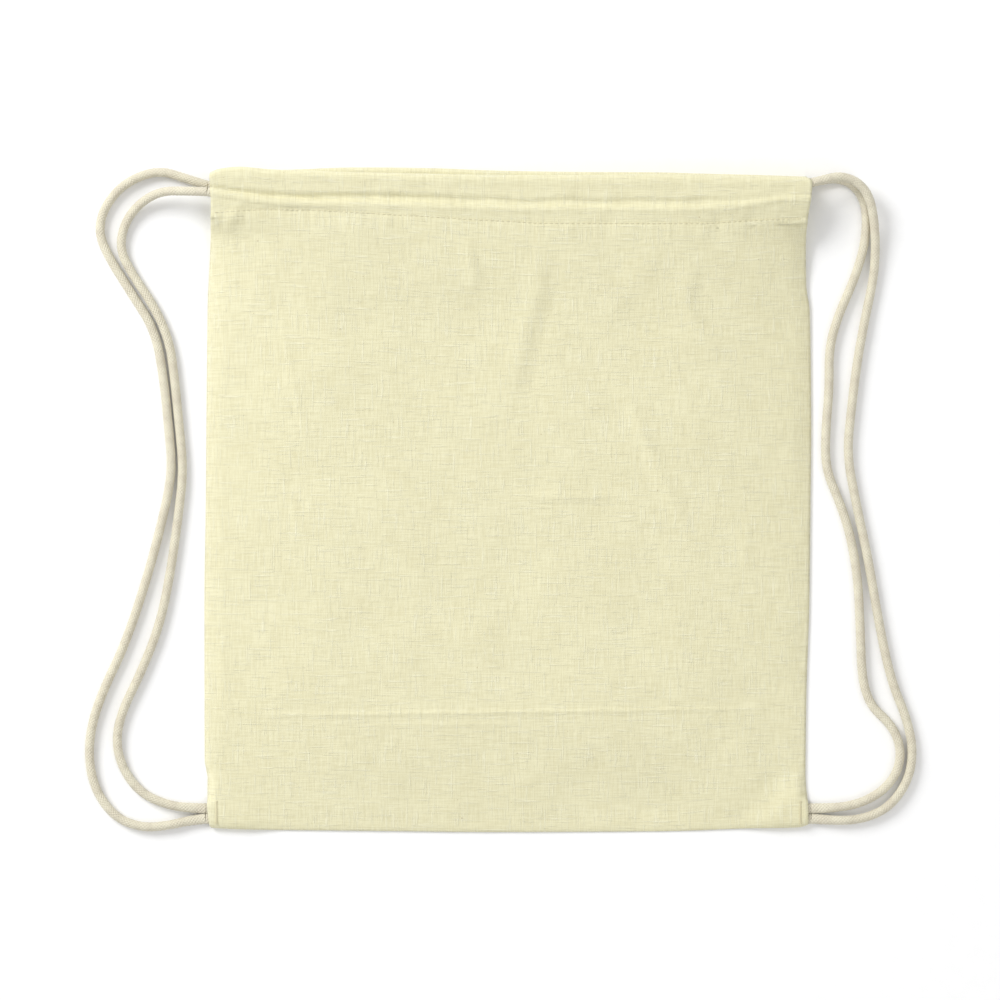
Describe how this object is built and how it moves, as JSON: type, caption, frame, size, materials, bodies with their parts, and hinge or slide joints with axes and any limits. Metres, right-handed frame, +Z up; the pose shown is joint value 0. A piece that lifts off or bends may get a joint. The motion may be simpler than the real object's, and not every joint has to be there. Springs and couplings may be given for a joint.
{
  "type": "drawstring backpack",
  "caption": "Flat cotton drawstring backpack lying on its back, with a cord channel across the mouth and two cord loops sewn into the bottom corners.",
  "frame": {"origin": "middle of the bag's width and height, on the surface that its back lies on", "axes": "+X across the bag towards its right side seam, +Y from the bottom fold towards the mouth, +Z up from the back panel towards the front panel"},
  "size_m": [0.5273, 0.421, 0.0212],
  "materials": {
    "canvas": "natural unbleached plain-weave cotton, matt, with slubs and soft creases",
    "cord": "natural braided cotton cord, matt",
    "thread": "natural cotton sewing thread, matt"
  },
  "bodies": {
    "bag": {"back_panel": "canvas", "front_panel": "canvas", "bottom_fold": "canvas", "left_side_seam": "canvas", "right_side_seam": "canvas", "left_seam_allowance": "canvas", "right_seam_allowance": "canvas", "front_hem_outer": "canvas", "front_hem_slope": "canvas", "front_hem_fold": "canvas", "front_hem_inner": "canvas", "back_hem_outer": "canvas", "back_hem_inner": "canvas", "front_hem_stitching": "thread", "back_hem_stitching": "thread", "left_seam_stitching": "thread", "right_seam_stitching": "thread", "left_corner_tack": "thread", "right_corner_tack": "thread", "left_outer_sewn_end": "cord", "left_inner_sewn_end": "cord", "right_outer_sewn_end": "cord", "right_inner_sewn_end": "cord", "left_outer_strand": "cord", "left_inner_strand": "cord", "right_upper_strand": "cord", "right_lower_strand": "cord"},
    "left_cord": {"left_cord_front_run": "cord", "left_cord_back_run": "cord", "left_cord_far_loop": "cord"},
    "right_cord": {"right_cord_front_run": "cord", "right_cord_back_run": "cord", "right_cord_far_loop": "cord"}
  },
  "joints": [
    {"name": "left_cord_slide", "type": "slide", "parent": "bag", "child": "left_cord", "axis": [-0.9999, 0.0131, 0], "range_m": [0, 0.008], "deforming": ["left_outer_strand", "left_inner_strand"]},
    {"name": "right_cord_slide", "type": "slide", "parent": "bag", "child": "right_cord", "axis": [0.9999, -0.0131, 0], "range_m": [0, 0.008], "deforming": ["right_upper_strand", "right_lower_strand"]}
  ]
}
